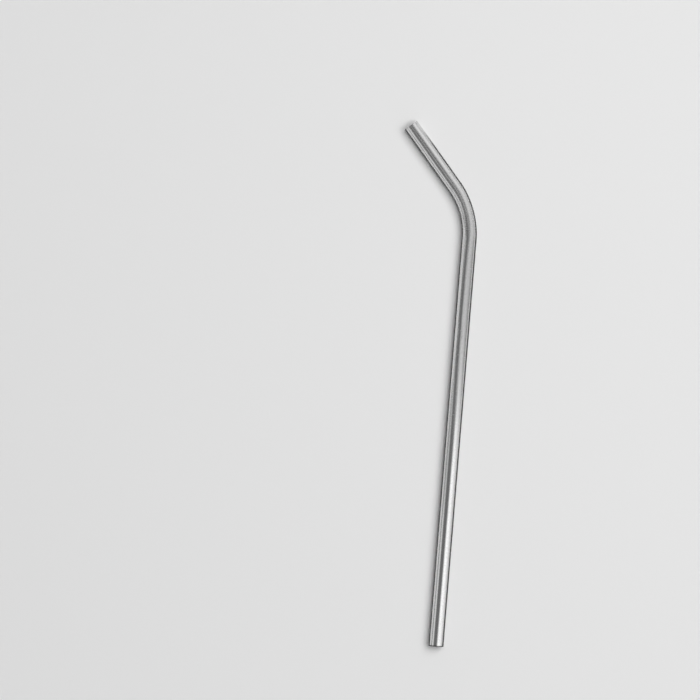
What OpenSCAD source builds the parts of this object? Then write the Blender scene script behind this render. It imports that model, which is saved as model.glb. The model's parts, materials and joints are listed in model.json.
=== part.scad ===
// Bent drinking straw, made from one length of thin-walled stainless steel tube.
// It lies on its side on Z = 0 with its bend in the XY plane. The long leg runs along +Y and the mouth leg
// turns towards -X. The origin is under the middle of the straw's own box.

/* [Tube] */
// Outside diameter of the tube
tube_od = 6; // [3:0.5:14]
// Thickness of the tube's wall
wall = 0.5; // [0.2:0.05:1.2]
// Length of the tube before it is bent, along its centreline
cut_length = 215; // [160:1:320]

/* [Bend] */
// Angle that the mouth leg turns away from the long leg
bend_angle = 40; // [5:1:90]
// Radius of the bend, to the tube's centreline
bend_radius = 32; // [8:1:60]
// Straight length from the end of the bend to the mouth
mouth_length = 30; // [5:1:60]

/* [Hidden] */
// Facets round the tube and round its thin edge, in the preview
$fn = 96;
rim_fn = 24;

tube_r = tube_od / 2;
bore_r = tube_r - wall;
// The cut ends are tumbled until the edge is one full round, half the wall in radius
rim_r = wall / 2;
rim_ring_r = tube_r - rim_r;
// Centreline length that the bend takes up
bend_length = bend_radius * bend_angle * PI / 180;
// What the bend and the mouth leg leave of the tube is the long leg
leg_length = cut_length - bend_length - mouth_length;

// The elbow reaches this far into each leg, with a wall a micrometre leaner on both sides than theirs, so that
// the three join cleanly at any angle
joint_lap = 0.02;
elbow_lean = 0.001;
lap_angle = joint_lap / bend_radius * 180 / PI;

// The straw's box, measured from the centre of the bend. The mouth's rim is its left and back corner.
mouth_rim_x = bend_radius * cos(bend_angle) - (mouth_length - rim_r) * sin(bend_angle);
mouth_rim_y = bend_radius * sin(bend_angle) + (mouth_length - rim_r) * cos(bend_angle);
box_left = mouth_rim_x - rim_ring_r * cos(bend_angle) - rim_r;
box_right = bend_radius + tube_r;
box_front = -leg_length;
box_back = mouth_rim_y + rim_ring_r * sin(bend_angle) + rim_r;

// Cross-section of the tube, a plain ring, with its wall made leaner by a given amount on both sides
module tube_section(lean = 0) {
    difference() {
        circle(tube_r - lean);
        circle(bore_r + lean);
    }
}

// Straight leg along +Z, from its joint with the elbow to its open end, where the edge is a full round
module leg(length) {
    linear_extrude(length - rim_r) tube_section();
    translate([0, 0, length - rim_r])
        rotate_extrude() translate([rim_ring_r, 0]) circle(rim_r, $fn = rim_fn);
}

// Bend about the origin, from the X axis round to the bend angle and a lap further at both ends
module elbow() {
    rotate([0, 0, -lap_angle])
        rotate_extrude(angle = bend_angle + 2 * lap_angle) translate([bend_radius, 0]) tube_section(elbow_lean);
}

// The whole tube, from the foot of the long leg round the elbow to the mouth
module straw() {
    color("silver")
        translate([-(box_left + box_right) / 2, -(box_front + box_back) / 2, tube_r]) {
            translate([bend_radius, 0, 0]) rotate([90, 0, 0]) leg(leg_length);
            elbow();
            rotate([0, 0, bend_angle]) translate([bend_radius, 0, 0]) rotate([-90, 0, 0]) leg(mouth_length);
        }
}

straw();
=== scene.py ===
"""A bent stainless steel drinking straw, lying on a pale floor between soft studio panels."""

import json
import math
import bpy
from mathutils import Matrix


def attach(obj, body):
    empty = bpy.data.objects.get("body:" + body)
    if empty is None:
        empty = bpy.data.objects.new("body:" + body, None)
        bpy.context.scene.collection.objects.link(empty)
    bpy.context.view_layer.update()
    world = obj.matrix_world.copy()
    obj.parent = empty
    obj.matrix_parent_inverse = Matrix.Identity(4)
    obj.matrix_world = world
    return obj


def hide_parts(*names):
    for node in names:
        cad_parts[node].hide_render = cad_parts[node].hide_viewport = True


bl_info = {
    "name": "Steel Straw",
    "version": (1, 0, 0),
    "blender": (4, 5, 0),
    "location": "3D View > Sidebar > Straw",
    "description": "Sweeps a bent steel tube, gives it a drawn and polished finish, and lights it",
    "category": "Object",
}

import bpy
import numpy as np
from bpy.props import FloatProperty, FloatVectorProperty, IntProperty, PointerProperty
from bpy.types import Operator, Panel, PropertyGroup
from mathutils import Matrix, Vector

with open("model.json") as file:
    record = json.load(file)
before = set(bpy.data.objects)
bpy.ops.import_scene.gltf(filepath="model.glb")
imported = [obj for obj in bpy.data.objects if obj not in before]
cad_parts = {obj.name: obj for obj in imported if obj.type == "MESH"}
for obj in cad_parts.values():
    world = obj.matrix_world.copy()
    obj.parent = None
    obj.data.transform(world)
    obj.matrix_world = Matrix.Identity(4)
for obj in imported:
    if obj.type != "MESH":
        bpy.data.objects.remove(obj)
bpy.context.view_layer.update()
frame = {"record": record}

MM = 0.001

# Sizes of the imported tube, from its mounts
MOUNTS = {mount["name"]: mount for mount in frame["record"]["mounts"]}
TUBE_R = MOUNTS["leg_outside"]["dims"]["r_mm"] * MM
BORE_R = MOUNTS["foot_bore"]["dims"]["r_mm"] * MM
# A mount is as long as its straight wall, and the leg is longer by its rounded edge
EDGE_R = (TUBE_R - BORE_R) / 2
LEG_LENGTH = MOUNTS["leg_outside"]["dims"]["length_mm"] * MM + EDGE_R
MOUTH_LENGTH = MOUNTS["mouth_outside"]["dims"]["length_mm"] * MM + EDGE_R
# The leg's mount points at the foot and the other at the mouth, each from the middle of its leg
FOOT_WAY = Vector(MOUNTS["leg_outside"]["axis"])
MOUTH_WAY = Vector(MOUNTS["mouth_outside"]["axis"])
LEG_MIDDLE = Vector(MOUNTS["leg_outside"]["pos_m"])
MOUTH_MIDDLE = Vector(MOUNTS["mouth_outside"]["pos_m"])
FOOT = LEG_MIDDLE + FOOT_WAY * LEG_LENGTH / 2
BEND_START = LEG_MIDDLE - FOOT_WAY * LEG_LENGTH / 2
BEND_END = MOUTH_MIDDLE - MOUTH_WAY * MOUTH_LENGTH / 2
BEND_ANGLE = (-FOOT_WAY).angle(MOUTH_WAY)
# The bend's two ends are a chord of its circle
BEND_RADIUS = (BEND_END - BEND_START).length / (2 * math.sin(BEND_ANGLE / 2))

# Where the photograph shows the straw, in its frame of 700 x 700 pixels
IMAGE_PIXELS = 700
FOOT_PIXEL = (435.9, 646.3)
PIXELS_PER_METRE = 2509.0
# How far the long leg leans to the right of upright
LEG_LEAN = math.radians(4.66)
LENS_MM = 200.0
SENSOR_MM = 36.0


class TubeShape(PropertyGroup):
    """Sizes of the bent tube."""

    tube_r: FloatProperty(
        name="Tube radius", description="Outside radius of the tube", default=TUBE_R,
        min=0.0005, unit="LENGTH", precision=5,
    )
    bore_r: FloatProperty(
        name="Bore radius", description="Radius of the hole along the tube", default=BORE_R,
        min=0.0002, unit="LENGTH", precision=5,
    )
    leg_length: FloatProperty(
        name="Long leg", description="Straight length from the foot to the bend", default=LEG_LENGTH,
        min=0.005, unit="LENGTH", precision=5,
    )
    mouth_length: FloatProperty(
        name="Mouth leg", description="Straight length from the bend to the mouth", default=MOUTH_LENGTH,
        min=0.005, unit="LENGTH", precision=5,
    )
    bend_radius: FloatProperty(
        name="Bend radius", description="Radius of the bend, to the middle of the tube",
        default=BEND_RADIUS, min=0.004, unit="LENGTH", precision=5,
    )
    bend_angle: FloatProperty(
        name="Bend angle", description="Angle that the mouth leg turns through", default=BEND_ANGLE,
        min=0.01, max=math.pi, unit="ROTATION",
    )
    flattening: FloatProperty(
        name="Flattening", description="How much narrower the tube is in the middle of the bend",
        default=0.03, min=0.0, max=0.2, subtype="FACTOR",
    )
    sides: IntProperty(
        name="Sides", description="Faces round the tube", default=144, min=24, max=256,
    )


class SteelFinish(PropertyGroup):
    """Look of the drawn and polished steel."""

    colour: FloatVectorProperty(
        name="Steel", description="Colour of the clean polished wall", subtype="COLOR",
        default=(0.74, 0.74, 0.74), min=0.0, max=1.0,
    )
    dull_colour: FloatVectorProperty(
        name="Dull steel", description="Colour in drawing lines, pits and the bore", subtype="COLOR",
        default=(0.50, 0.50, 0.50), min=0.0, max=1.0,
    )
    # Painted dark reflection: this colour stands in for the dark surroundings that the foot's rounded rim
    # mirrors
    foot_painted_reflection: FloatVectorProperty(
        name="Foot edge", description="Colour of the painted dark reflection at the foot", subtype="COLOR",
        default=(0.14, 0.14, 0.14), min=0.0, max=1.0,
    )
    roughness: FloatProperty(
        name="Roughness", description="Roughness of the polished wall", default=0.145,
        min=0.02, max=1.0, subtype="FACTOR",
    )
    bore_roughness: FloatProperty(
        name="Bore roughness", description="Roughness of the unpolished bore", default=0.42,
        min=0.02, max=1.0, subtype="FACTOR",
    )
    pebbling: FloatProperty(
        name="Pebbling", description="How much rougher the specks are that bending leaves in the wall",
        default=0.26, min=0.0, max=0.8,
    )
    line_depth: FloatProperty(
        name="Line depth", description="Depth of the fine lines that drawing leaves along the tube",
        default=1.2e-6, min=0.0, max=1e-4, precision=7, unit="LENGTH",
    )
    wave_depth: FloatProperty(
        name="Wave depth", description="Depth of the long shallow waves in the wall",
        default=9e-6, min=0.0, max=1e-3, precision=7, unit="LENGTH",
    )
    pit_depth: FloatProperty(
        name="Pit depth", description="Depth of the few small pits",
        default=1.5e-5, min=0.0, max=1e-3, precision=7, unit="LENGTH",
    )


class Studio(PropertyGroup):
    """Floor and lights."""

    floor_colour: FloatVectorProperty(
        name="Floor", description="Colour of the floor and of the wall behind it", subtype="COLOR",
        default=(0.82, 0.82, 0.82), min=0.0, max=1.0,
    )
    far_light: FloatProperty(
        name="Far floor", description="Brightness at which the floor is seen away from the straw",
        default=0.76, min=0.0,
    )
    room: FloatProperty(
        name="Room", description="Brightness of the dim room behind the panels", default=0.22, min=0.0,
    )
    key: FloatVectorProperty(
        name="Key panel",
        description="Brightness of the large panel on the right: by the foot, the bend and beyond",
        default=(1.38, 0.74, 0.95), min=0.0,
    )
    side: FloatVectorProperty(
        name="Side panels",
        description="Brightness of the two on the left: by the foot, the middle and the bend",
        default=(0.82, 0.56, 0.84), min=0.0,
    )
    fill: FloatProperty(
        name="Fill lamp", description="Power of the lamp that lights the floor",
        default=32.0, min=0.0, unit="POWER",
    )
    shade: FloatProperty(
        name="Edge shade",
        description="Brightness of the dark card whose mirror image draws the tube's edges",
        default=0.1, min=0.0,
    )


class Value:
    """One socket of a shader. A sum written with it adds the Math node that works it out."""

    def __init__(self, shader, socket):
        self.shader = shader
        self.socket = socket

    def __add__(self, other):
        return self.shader.maths("ADD", self, other)

    def __sub__(self, other):
        return self.shader.maths("SUBTRACT", self, other)

    def __rsub__(self, other):
        return self.shader.maths("SUBTRACT", other, self)

    def __mul__(self, other):
        return self.shader.maths("MULTIPLY", self, other)

    __radd__ = __add__
    __rmul__ = __mul__


class Shader:
    """The node tree of a material or of the world, written as expressions."""

    def __init__(self, owner):
        owner.use_nodes = True
        self.tree = owner.node_tree
        self.tree.nodes.clear()

    def node(self, kind, settings=None, inputs=None, output=0):
        """A new node of that type, with its settings made first and its inputs fed next.

        Returns the output that is asked for, or nothing where the node has none.
        """
        made = self.tree.nodes.new(kind)
        for name, value in (settings or {}).items():
            setattr(made, name, value)
        for name, value in (inputs or {}).items():
            if isinstance(value, Value):
                self.tree.links.new(value.socket, made.inputs[name])
            else:
                made.inputs[name].default_value = value
        return Value(self, made.outputs[output]) if made.outputs else None

    def maths(self, operation, first, second):
        """The sum of two values, or numbers, by one Math node."""
        return self.node("ShaderNodeMath", {"operation": operation}, {0: first, 1: second})

    def attribute(self, name, output="Vector"):
        """What the mesh keeps under that name at each of its points."""
        return self.node("ShaderNodeAttribute", {"attribute_name": name}, output=output)

    def stretched(self, vector, across, along):
        """The vector divided by one size in metres across, on X and Y, and another along Z."""
        sizes = (across, across, along)
        inputs = {0: vector, 1: [1 / size for size in sizes]}
        return self.node("ShaderNodeVectorMath", {"operation": "MULTIPLY"}, inputs)

    def noise(self, vector, detail=2.0, roughness=0.5):
        """Smooth noise between 0 and 1, about one feature for each unit of the vector."""
        inputs = {"Vector": vector, "Scale": 1.0, "Detail": detail, "Roughness": roughness}
        return self.node("ShaderNodeTexNoise", {"noise_dimensions": "3D"}, inputs)

    def ease(self, value, start, end):
        """0 below start, 1 above end, and an S curve between them. Start may be the larger."""
        inputs = {"Value": value, "From Min": start, "From Max": end}
        return self.node("ShaderNodeMapRange", {"interpolation_type": "SMOOTHSTEP"}, inputs)

    def blend(self, factor, first, second):
        """The first colour at factor 0 and the second at factor 1. Each may be the output of a node."""
        colours = [colour if isinstance(colour, Value) else (*colour, 1.0) for colour in (first, second)]
        inputs = {0: factor, 6: colours[0], 7: colours[1]}
        return self.node("ShaderNodeMix", {"data_type": "RGBA"}, inputs, output=2)

    def surface(self, shader_value, output_kind="ShaderNodeOutputMaterial"):
        """The finished shader goes to the output node."""
        self.node(output_kind, inputs={"Surface": shader_value})


def grid_faces(rows, columns, close_rows, close_columns):
    """Quads of a grid whose point (row, column) is number row * columns + column, as an (n, 4) array.

    A closed direction joins its last line of points to its first.
    """
    row = np.arange(rows if close_rows else rows - 1)[:, None]
    column = np.arange(columns if close_columns else columns - 1)[None, :]
    next_row = (row + 1) % rows
    next_column = (column + 1) % columns
    corners = (
        row * columns + column,
        next_row * columns + column,
        next_row * columns + next_column,
        row * columns + next_column,
    )
    return np.stack([corner.ravel() for corner in corners], axis=1)


def grid_object(name, points, close_rows=False, close_columns=False, cap=False):
    """A smooth mesh object through a (rows, columns, 3) array of points, at the origin.

    A cap closes the ring that is the first row with one face.
    """
    rows, columns = points.shape[:2]
    mesh = bpy.data.meshes.new(name)
    faces = grid_faces(rows, columns, close_rows, close_columns).tolist()
    if cap:
        faces.append(range(columns))
    mesh.from_pydata(points.reshape(-1, 3), [], faces)
    mesh.shade_smooth()
    made = bpy.data.objects.new(name, mesh)
    bpy.context.scene.collection.objects.link(made)
    return made


def store(made, name, kind, values):
    """Keeps values at the mesh's points under a name: a FLOAT each, or a FLOAT_VECTOR each."""
    layer = made.data.attributes.new(name, kind, "POINT")
    channel = "vector" if kind == "FLOAT_VECTOR" else "value"
    layer.data.foreach_set(channel, values.astype(np.float32).ravel())


def centreline(shape, along):
    """The tube's middle points and outward directions in the bend's plane, at lengths from the foot.

    The turn is the length past the leg divided by the bend's radius, held between 0 and the bend's
    angle. The point is the bend's centre, plus the radius along the outward direction, plus the
    straight length left over along the tube's own direction.
    """
    turn = np.clip((along - shape.leg_length) / shape.bend_radius, 0.0, shape.bend_angle)
    spare = along - shape.leg_length - turn * shape.bend_radius
    outward = np.stack([np.cos(turn), np.sin(turn), np.zeros_like(turn)], axis=-1)
    forward = np.stack([-np.sin(turn), np.cos(turn), np.zeros_like(turn)], axis=-1)
    start = FOOT - FOOT_WAY * shape.leg_length
    centre = np.array(start) - shape.bend_radius * np.array((1.0, 0.0, 0.0))
    return centre + shape.bend_radius * outward + spare[..., None] * forward, outward


def wall_lengths(shape, edge_r):
    """Lengths from the foot at which the wall has a ring of points, from one rounded edge to the other.

    The legs have rings a few millimetres apart, the bend has them closer, and each edge has one just
    inside it, so that the edge's shading stays on the edge.
    """
    leg_step = 4.0 * MM
    bend_step = 0.35 * MM
    hem = 0.04 * MM
    bend_length = shape.bend_radius * shape.bend_angle
    whole = shape.leg_length + bend_length + shape.mouth_length
    joints = (edge_r + hem, shape.leg_length, shape.leg_length + bend_length, whole - edge_r - hem)
    stretches = [
        np.linspace(low, high, math.ceil((high - low) / step), endpoint=False)
        for low, high, step in zip(joints[:-1], joints[1:], (leg_step, bend_step, leg_step))
    ]
    return np.concatenate([[edge_r], *stretches, [whole - edge_r - hem, whole - edge_r]])


def tube_profile(shape):
    """The wall's closed section, as lengths from the foot, radii, and 0 outside to 1 in the bore.

    It runs along the outside to the mouth, half round the mouth's edge, back along the bore and half
    round the foot's edge. Each edge is a half circle whose diameter is the wall.
    """
    edge_steps = 16
    edge_r = (shape.tube_r - shape.bore_r) / 2
    lengths = wall_lengths(shape, edge_r)
    swing = np.linspace(0.0, math.pi, edge_steps + 1)[1:-1]
    middle_r = shape.bore_r + edge_r
    along = np.concatenate(
        [lengths, lengths[-1] + edge_r * np.sin(swing), lengths[::-1], lengths[0] - edge_r * np.sin(swing)]
    )
    radius = np.concatenate(
        [
            np.full_like(lengths, shape.tube_r),
            middle_r + edge_r * np.cos(swing),
            np.full_like(lengths, shape.bore_r),
            middle_r - edge_r * np.cos(swing),
        ]
    )
    inside = (shape.tube_r - radius) / (shape.tube_r - shape.bore_r)
    return along, radius, inside


def tube_piece(shape):
    """The whole wall of the straw as one closed surface: its section carried round the centreline.

    A point is the centreline's, plus the radius times the cosine of the angle round the tube, outwards
    in the bend's plane, plus the radius times its sine, upwards. In the bend the outward part shrinks
    by the flattening times the square of a half sine wave. Each point also keeps the place that it had
    on the straight tube.
    """
    along, radius, inside = tube_profile(shape)
    angle = np.linspace(0.0, 2 * math.pi, shape.sides, endpoint=False)
    middle, outward = centreline(shape, along)
    through_bend = np.clip((along - shape.leg_length) / (shape.bend_radius * shape.bend_angle), 0.0, 1.0)
    narrowed = radius * (1 - shape.flattening * np.sin(math.pi * through_bend) ** 2)
    sideways = (narrowed[:, None] * np.cos(angle))[..., None] * outward[:, None, :]
    aside = radius[:, None] * np.cos(angle)
    height = radius[:, None] * np.sin(angle)
    upwards = height[..., None] * np.array((0.0, 0.0, 1.0))
    piece = grid_object("straw_tube", middle[:, None, :] + sideways + upwards, True, True)
    straight = np.stack(np.broadcast_arrays(aside, height, along[:, None]), axis=-1)
    store(piece, "straight_place", "FLOAT_VECTOR", straight)
    store(piece, "inside", "FLOAT", np.repeat(inside, shape.sides))
    return piece


def steel(shape, finish):
    """Drawn and polished stainless steel, duller in the bore, with a painted dark reflection on the foot's
    edge.

    Its patterns lie on the straight tube, before it was bent, so they follow the bend: fine drawing
    lines, long shallow waves, patches of haze, a faint mottle, fine grit and a few small pits. Bending
    pebbles the wall with rougher specks, at their full strength in the bend, at half of it beyond, and
    with a trace of them in the leg.
    """
    material = bpy.data.materials.new("satin_steel")
    shader = Shader(material)
    place = shader.attribute("straight_place")
    inside = shader.attribute("inside", "Fac")
    along = shader.node("ShaderNodeSeparateXYZ", inputs={"Vector": place}, output="Z")
    # The painted dark reflection on the foot's edge is whole up to the second length from the foot, and in
    # the outermost fifth of the wall
    foot_reach = (0.55 * MM, 0.36 * MM)
    outer_wall = (0.35, 0.2)
    painted_reflection_mask = shader.ease(along, *foot_reach) * shader.ease(inside, *outer_wall)
    # Each pattern has one size across the tube and another along it
    lines = shader.noise(shader.stretched(place, 0.16 * MM, 22 * MM), detail=3.0, roughness=0.6)
    bands = shader.noise(shader.stretched(place, 0.7 * MM, 60 * MM), detail=1.0)
    waves = shader.noise(shader.stretched(place, 2.4 * MM, 45 * MM), detail=1.0)
    haze = shader.noise(shader.stretched(place, 5 * MM, 16 * MM), detail=4.0, roughness=0.65)
    grit = shader.noise(shader.stretched(place, 0.3 * MM, 0.45 * MM))
    mottle = shader.noise(shader.stretched(place, 0.6 * MM, 0.9 * MM))
    cell = shader.node(
        "ShaderNodeTexVoronoi",
        {"feature": "F1"},
        {"Vector": shader.stretched(place, 3.2 * MM, 6 * MM), "Scale": 1.0},
        output="Distance",
    )
    pit_rim, pit_floor = 0.075, 0.03
    pits = shader.ease(cell, pit_rim, pit_floor)
    bend_start = shape.leg_length
    bend_end = bend_start + shape.bend_radius * shape.bend_angle
    onset, decline = 9 * MM, 8 * MM
    leg_trace, lost_beyond = 0.2, 0.5
    pebbled = leg_trace + (1 - leg_trace) * shader.ease(along, bend_start, bend_start + onset)
    pebbled = pebbled * (1.0 - lost_beyond * shader.ease(along, bend_end, bend_end + decline))
    speck_rim, speck_core = 0.46, 0.66
    specks = pebbled * shader.ease(grit, speck_rim, speck_core)
    haze_rim, haze_core = 0.5, 0.75
    worn = shader.ease(haze, haze_rim, haze_core)
    # Each pattern has its own weight in how dull the colour is, and another in the roughness
    dull = (lines - 0.5) * 0.5 + (bands - 0.5) * 0.45 + (mottle - 0.5) * 0.5 + worn * 0.12 + pits * 0.7
    dull = dull + inside * 0.6 + 0.12
    roughness = (
        finish.roughness
        + (lines - 0.5) * 0.12
        + worn * 0.07
        + (grit - 0.5) * 0.06
        + pits * 0.25
        + specks * finish.pebbling
        + inside * (finish.bore_roughness - finish.roughness)
    )
    height = lines * finish.line_depth + waves * finish.wave_depth - pits * finish.pit_depth
    height = height + grit * (finish.line_depth * 0.6)
    normal = shader.node("ShaderNodeBump", inputs={"Strength": 1.0, "Distance": 1.0, "Height": height})
    wall_colour = shader.blend(dull, finish.colour, finish.dull_colour)
    inputs = {
        # The foot's edge takes the dark colour of a painted reflection
        "Base Color": shader.blend(painted_reflection_mask, wall_colour, finish.foot_painted_reflection),
        "Metallic": 1.0,
        "Roughness": roughness,
        "Normal": normal,
    }
    metal = shader.node("ShaderNodeBsdfPrincipled", inputs=inputs)
    shader.surface(metal)
    return material


def floor_material(colour, far_light):
    """Plain matt paper: a pale colour with a barely uneven tooth.

    Away from the straw, where the lamp no longer reaches, the camera and the steel see it as pale as it
    is near the straw.
    """
    tooth_size = 1 * MM
    tooth_shade = 0.985
    lamp_lit, unlit = 0.35, 1.3
    material = bpy.data.materials.new("pale_paper")
    shader = Shader(material)
    place = shader.node("ShaderNodeTexCoord", output="Object")
    tooth = shader.noise(shader.stretched(place, tooth_size, tooth_size), detail=3.0)
    darker = [tooth_shade * part for part in colour]
    inputs = {
        "Base Color": shader.blend(tooth, colour, darker),
        "Roughness": 0.9,
        "Specular IOR Level": 0.1,
    }
    paper = shader.node("ShaderNodeBsdfPrincipled", inputs=inputs)
    away = shader.node("ShaderNodeVectorMath", {"operation": "LENGTH"}, {0: place}, output="Value")
    seen = shader.node("ShaderNodeLightPath", output="Is Camera Ray")
    mirrored = shader.node("ShaderNodeLightPath", output="Is Glossy Ray")
    through = shader.node("ShaderNodeLightPath", output="Is Transmission Ray")
    inputs = {
        0: shader.ease(away, lamp_lit, unlit) * (seen + mirrored + through),
        1: paper,
        2: shader.node("ShaderNodeEmission", inputs={"Strength": far_light}),
    }
    shader.surface(shader.node("ShaderNodeMixShader", inputs=inputs))
    return material


def panel_material(name, room, levels, changes, top_edge, low_edge):
    """Light of a panel, as bright as the room where it has faded out.

    Each edge is given as the shares of the panel's width, from its top, at which the light is nil and at
    which it is whole. Along Y it has three levels, and each of the two changes is the Y at which it
    begins and the Y at which it ends.
    """
    material = bpy.data.materials.new(name)
    shader = Shader(material)
    across = shader.attribute("across", "Fac")
    y = shader.attribute("along", "Fac")
    window = shader.ease(across, *top_edge) * shader.ease(across, *low_edge)
    first, second, third = levels
    level = first + (second - first) * shader.ease(y, *changes[0])
    level = level + (third - second) * shader.ease(y, *changes[1])
    light = shader.node("ShaderNodeEmission", inputs={"Color": room + window * (level - room)})
    shader.surface(light)
    return material


def eased(value, start, end):
    """0 below start, 1 above end, and the S curve 3 t t - 2 t t t between them."""
    part = np.clip((value - start) / (end - start), 0.0, 1.0)
    return part * part * (3 - 2 * part)


def mirrored_only(piece):
    """Hides the piece from the camera, from diffuse and transmission rays and from shadows, so that it is
    seen only where the steel mirrors it.
    """
    for rays in ("visible_camera", "visible_diffuse", "visible_transmission", "visible_shadow"):
        setattr(piece, rays, False)


def light_panel(name, angles, material):
    """A curved panel that hangs beside the straw: an arc about the Y axis, carried along it.

    A point is the distance times the sine and the cosine of its angle from the vertical, and its length
    along Y. The angles given are those of its top and its low edge, in degrees. Beside the upper part of
    the long leg every angle is smaller by the lean.
    """
    distance = 0.5
    reach = 2.2
    lean = math.radians(26.0)
    lean_starts, lean_ends = (-0.02, 0.008), (0.064, 0.084)
    across = np.linspace(0.0, 1.0, 49)
    y = np.linspace(-reach, reach, 881)
    shift = lean * (eased(y, *lean_starts) - eased(y, *lean_ends))
    angle = np.radians(angles[0] + across * (angles[1] - angles[0]))[:, None] - shift
    along = np.broadcast_to(y, angle.shape)
    points = np.stack([distance * np.sin(angle), along, distance * np.cos(angle)], axis=-1)
    panel = grid_object(name, points)
    store(panel, "across", "FLOAT", np.repeat(across, y.size))
    store(panel, "along", "FLOAT", along)
    panel.data.materials.append(material)
    mirrored_only(panel)


def key_panel(room, levels):
    """The large panel on the right, from nearly overhead round to below the straw.

    It comes in sharply at the top and fades slowly towards its lower edge.
    """
    changes = ((-0.04, 0.0), (0.12, 0.4))
    top_edge, low_edge = (0.0, 0.234), (1.176, 0.277)
    light = panel_material("key_light", room, levels, changes, top_edge, low_edge)
    light_panel("key_panel", (4.0, 115.0), light)


def side_panels(room, levels):
    """Two like panels on the left, one below the other, each fading towards its lower edge."""
    changes = ((-0.08, -0.05), (-0.02, 0.01))
    top_edge, low_edge = (0.0, 0.35), (1.0, 0.6)
    light = panel_material("side_light", room, levels, changes, top_edge, low_edge)
    light_panel("side_panel_high", (-34.0, -74.0), light)
    light_panel("side_panel_low", (-74.0, -104.0), light)


def card_material(brightness):
    """A dark card, whole where its cover is 1 and faded out where it is 0."""
    material = bpy.data.materials.new("edge_card")
    shader = Shader(material)
    inputs = {
        0: shader.attribute("cover", "Fac"),
        1: shader.node("ShaderNodeBsdfTransparent"),
        2: shader.node("ShaderNodeEmission", inputs={"Strength": brightness}),
    }
    shader.surface(shader.node("ShaderNodeMixShader", inputs=inputs))
    return material


def edge_card(shape, brightness):
    """A card under the straw, so that its long edges stand out from the pale floor.

    It follows the centreline: a point is the centreline's, plus a distance to the side. It fades out
    towards its rim, a little past both ends of the straw, and on the right just before the mouth.
    """
    left, right = -14.0 * MM, 24.0 * MM
    left_fade, right_fade = 4.0 * MM, 11.0 * MM
    past_end = 10.0 * MM
    right_gap = 3.0 * MM
    lift = 0.05 * MM
    whole = shape.leg_length + shape.bend_radius * shape.bend_angle + shape.mouth_length
    along = np.linspace(-past_end, whole + past_end, 400)
    aside = np.linspace(left, right, 81)
    middle, outward = centreline(shape, along)
    points = middle[:, None, :] + aside[None, :, None] * outward[:, None, :]
    points[..., 2] = lift
    sides = eased(aside, left, left + left_fade) * eased(-aside, -right, right_fade - right)
    mouth_end = whole + np.where(aside > 0, -right_gap, past_end)
    ends = eased(along, -past_end, 0.0)[:, None] * eased(mouth_end - along[:, None], 0.0, past_end)
    card = grid_object("edge_card", points)
    store(card, "cover", "FLOAT", ends * sides)
    card.data.materials.append(card_material(brightness))
    mirrored_only(card)


def backdrop(colour, far_light):
    """A floor that sweeps up at its far edge into a round wall: the corner is a quarter circle."""
    inner_rings = (1.0, 2.0)
    flat_r = 3.2
    corner_r = 0.8
    wall_height = 1.4
    swing = np.linspace(0.0, math.pi / 2, 17)
    out = np.concatenate([inner_rings, flat_r + corner_r * np.sin(swing), [flat_r + corner_r]])
    level = np.zeros_like(inner_rings)
    up = np.concatenate([level, corner_r * (1 - np.cos(swing)), [corner_r + wall_height]])
    angle = np.linspace(0.0, 2 * math.pi, 96, endpoint=False)
    x, y = out[:, None] * np.cos(angle), out[:, None] * np.sin(angle)
    points = np.stack(np.broadcast_arrays(x, y, up[:, None]), axis=-1)
    floor = grid_object("floor", points, close_columns=True, cap=True)
    floor.data.materials.append(floor_material(colour, far_light))


def room_light(strength):
    """The dim room behind the panels, the same in every direction."""
    world = bpy.data.worlds.new("dim_room")
    shader = Shader(world)
    light = shader.node("ShaderNodeBackground", inputs={"Strength": strength})
    shader.surface(light, "ShaderNodeOutputWorld")
    bpy.context.scene.world = world


def fill_lamp(power):
    """A wide lamp high up to the right. It lights the floor evenly, and the steel doesn't mirror it."""
    width = 1.5
    place = Vector((0.55, 0.3, 1.7))
    lamp = bpy.data.lights.new("fill", "AREA")
    lamp.shape = "SQUARE"
    lamp.size = width
    lamp.energy = power
    made = bpy.data.objects.new("fill", lamp)
    made.location = place
    made.rotation_euler = (-place).to_track_quat("-Z", "Y").to_euler()
    made.visible_camera = False
    made.visible_glossy = False
    bpy.context.scene.collection.objects.link(made)


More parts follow.
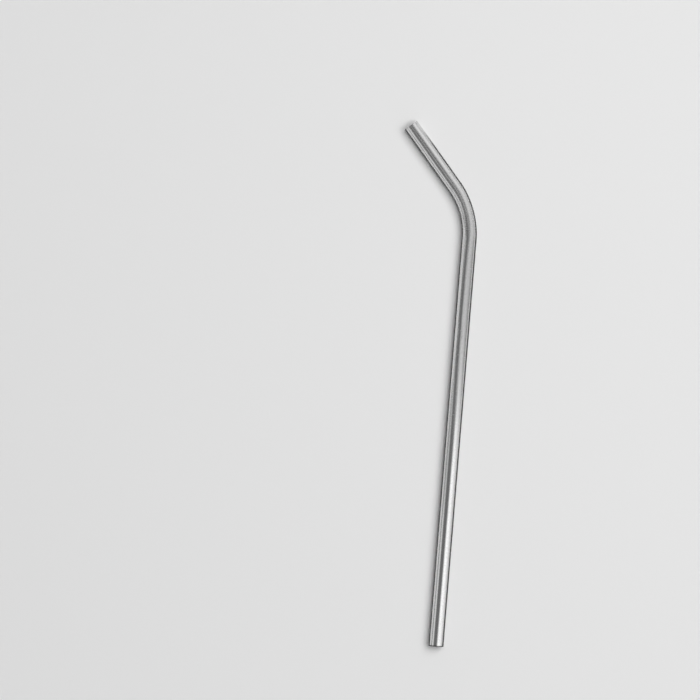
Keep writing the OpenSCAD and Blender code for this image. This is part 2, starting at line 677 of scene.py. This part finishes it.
def photo_camera():
    """A camera straight overhead, placed so that the straw lies where the photograph shows it.

    The picture's right is +X turned by the leg's lean. The camera stands over the point that is as far
    from the foot as the picture's middle is from the foot's pixel, at the height from which the frame
    has its real width.
    """
    right = Vector((math.cos(LEG_LEAN), math.sin(LEG_LEAN), 0.0))
    up = Vector((-math.sin(LEG_LEAN), math.cos(LEG_LEAN), 0.0))
    to_right = (IMAGE_PIXELS / 2 - FOOT_PIXEL[0]) / PIXELS_PER_METRE
    to_top = (FOOT_PIXEL[1] - IMAGE_PIXELS / 2) / PIXELS_PER_METRE
    height = IMAGE_PIXELS / PIXELS_PER_METRE * LENS_MM / SENSOR_MM
    spot = FOOT + to_right * right + to_top * up + Vector((0.0, 0.0, height))
    data = bpy.data.cameras.new("overhead")
    data.lens = LENS_MM
    data.sensor_width = SENSOR_MM
    camera = bpy.data.objects.new("overhead", data)
    turn = Matrix((right, up, (0.0, 0.0, 1.0))).transposed().to_4x4()
    camera.matrix_world = Matrix.Translation(spot) @ turn
    bpy.context.scene.collection.objects.link(camera)
    bpy.context.scene.camera = camera


class STRAW_OT_tube(Operator):
    """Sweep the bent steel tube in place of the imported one"""

    bl_idname = "straw.tube"
    bl_label = "Make the tube"

    def execute(self, context):
        piece = tube_piece(context.scene.straw_shape)
        piece.data.materials.append(steel(context.scene.straw_shape, context.scene.straw_finish))
        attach(piece, "root")
        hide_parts("straw")
        return {"FINISHED"}


class STRAW_OT_stage(Operator):
    """Lay out the floor, the light panels, the lamp and the camera"""

    bl_idname = "straw.stage"
    bl_label = "Set the stage"

    def execute(self, context):
        studio = context.scene.straw_studio
        backdrop(studio.floor_colour, studio.far_light)
        room_light(studio.room)
        fill_lamp(studio.fill)
        edge_card(context.scene.straw_shape, studio.shade)
        key_panel(studio.room, studio.key)
        side_panels(studio.room, studio.side)
        photo_camera()
        context.scene.view_settings.view_transform = "Standard"
        return {"FINISHED"}


class STRAW_PT_sidebar(Panel):
    """Sizes, finish and light of the straw."""

    bl_label = "Steel Straw"
    bl_space_type = "VIEW_3D"
    bl_region_type = "UI"
    bl_category = "Straw"

    def draw(self, context):
        for group in (context.scene.straw_shape, context.scene.straw_finish, context.scene.straw_studio):
            box = self.layout.box()
            for name in group.__annotations__:
                box.prop(group, name)
        self.layout.operator(STRAW_OT_tube.bl_idname)
        self.layout.operator(STRAW_OT_stage.bl_idname)


CLASSES = (TubeShape, SteelFinish, Studio, STRAW_OT_tube, STRAW_OT_stage, STRAW_PT_sidebar)


def register():
    for item in CLASSES:
        bpy.utils.register_class(item)
    bpy.types.Scene.straw_shape = PointerProperty(type=TubeShape)
    bpy.types.Scene.straw_finish = PointerProperty(type=SteelFinish)
    bpy.types.Scene.straw_studio = PointerProperty(type=Studio)


def unregister():
    del bpy.types.Scene.straw_studio
    del bpy.types.Scene.straw_finish
    del bpy.types.Scene.straw_shape
    for item in reversed(CLASSES):
        bpy.utils.unregister_class(item)


def main():
    register()
    bpy.ops.straw.tube()
    bpy.ops.straw.stage()


if __name__ == "__main__":
    main()
